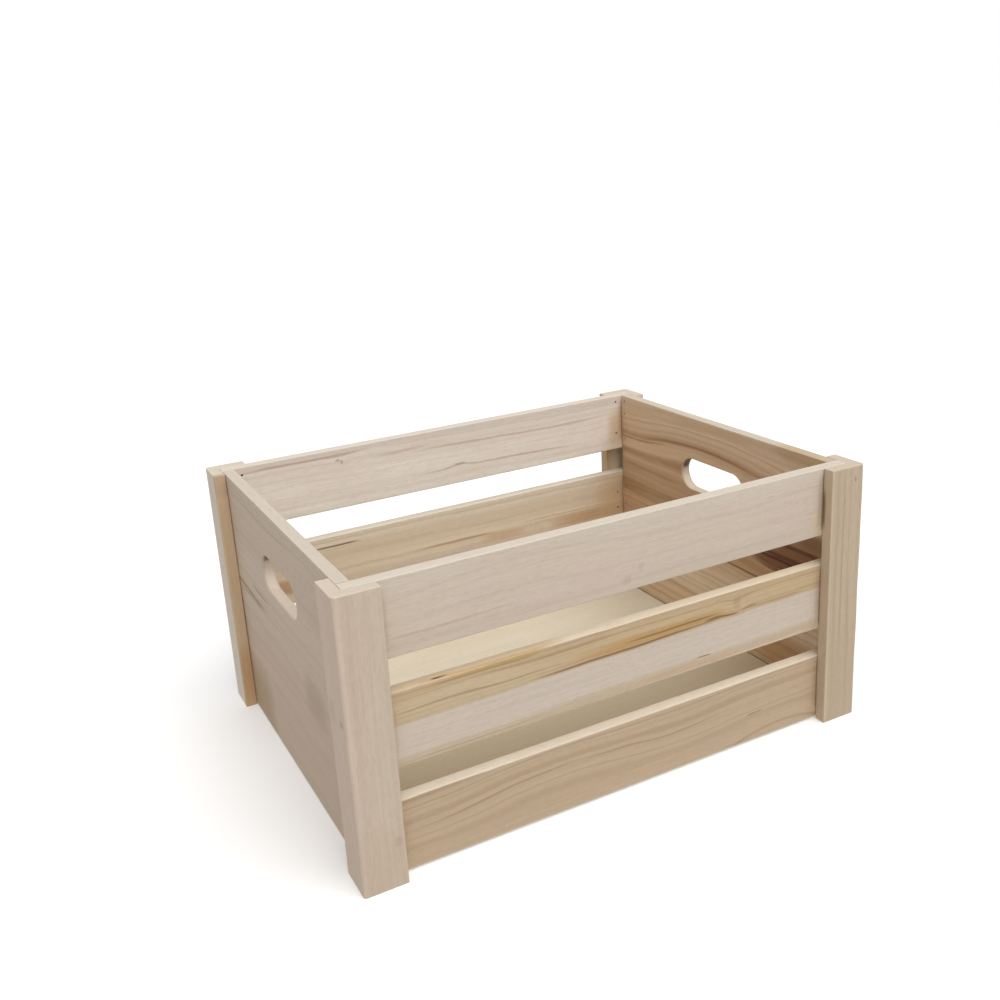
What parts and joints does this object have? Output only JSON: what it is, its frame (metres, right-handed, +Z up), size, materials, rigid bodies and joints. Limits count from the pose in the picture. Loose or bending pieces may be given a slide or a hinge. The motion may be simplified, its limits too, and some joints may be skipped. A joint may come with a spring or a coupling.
{
  "type": "wooden apple crate",
  "caption": "Open slatted wooden crate with solid ends, oblong hand holes, corner angle posts and a grooved-in plywood floor.",
  "frame": {"origin": "on the ground, under the middle of the crate", "axes": "+X along the slats towards the right end, +Y from the front to the back, +Z up"},
  "size_m": [0.4, 0.3, 0.2],
  "materials": {
    "post_wood": "planed and sanded paulownia, unfinished",
    "slat_wood": "planed and sanded paulownia, unfinished",
    "end_wood": "edge-glued, sanded paulownia, unfinished",
    "floor_plywood": "sanded poplar plywood, unfinished",
    "brad_steel": "galvanised wire"
  },
  "bodies": {
    "root": {"corner_post_front_left": "post_wood", "corner_post_front_right": "post_wood", "corner_post_back_left": "post_wood", "corner_post_back_right": "post_wood", "slat_front_bottom": "slat_wood", "slat_front_middle": "slat_wood", "slat_front_top": "slat_wood", "slat_back_bottom": "slat_wood", "slat_back_middle": "slat_wood", "slat_back_top": "slat_wood", "end_board_left_upper": "end_wood", "end_board_left_lower": "end_wood", "end_board_right_upper": "end_wood", "end_board_right_lower": "end_wood", "floor_panel": "floor_plywood", "brads_slats_to_post_front_left": "brad_steel", "brads_slats_to_post_front_right": "brad_steel", "brads_slats_to_post_back_left": "brad_steel", "brads_slats_to_post_back_right": "brad_steel", "brads_end_to_post_front_left": "brad_steel", "brads_end_to_post_front_right": "brad_steel", "brads_end_to_post_back_left": "brad_steel", "brads_end_to_post_back_right": "brad_steel", "brads_slats_to_end_front_left": "brad_steel", "brads_slats_to_end_front_right": "brad_steel", "brads_slats_to_end_back_left": "brad_steel", "brads_slats_to_end_back_right": "brad_steel"}
  },
  "joints": []
}
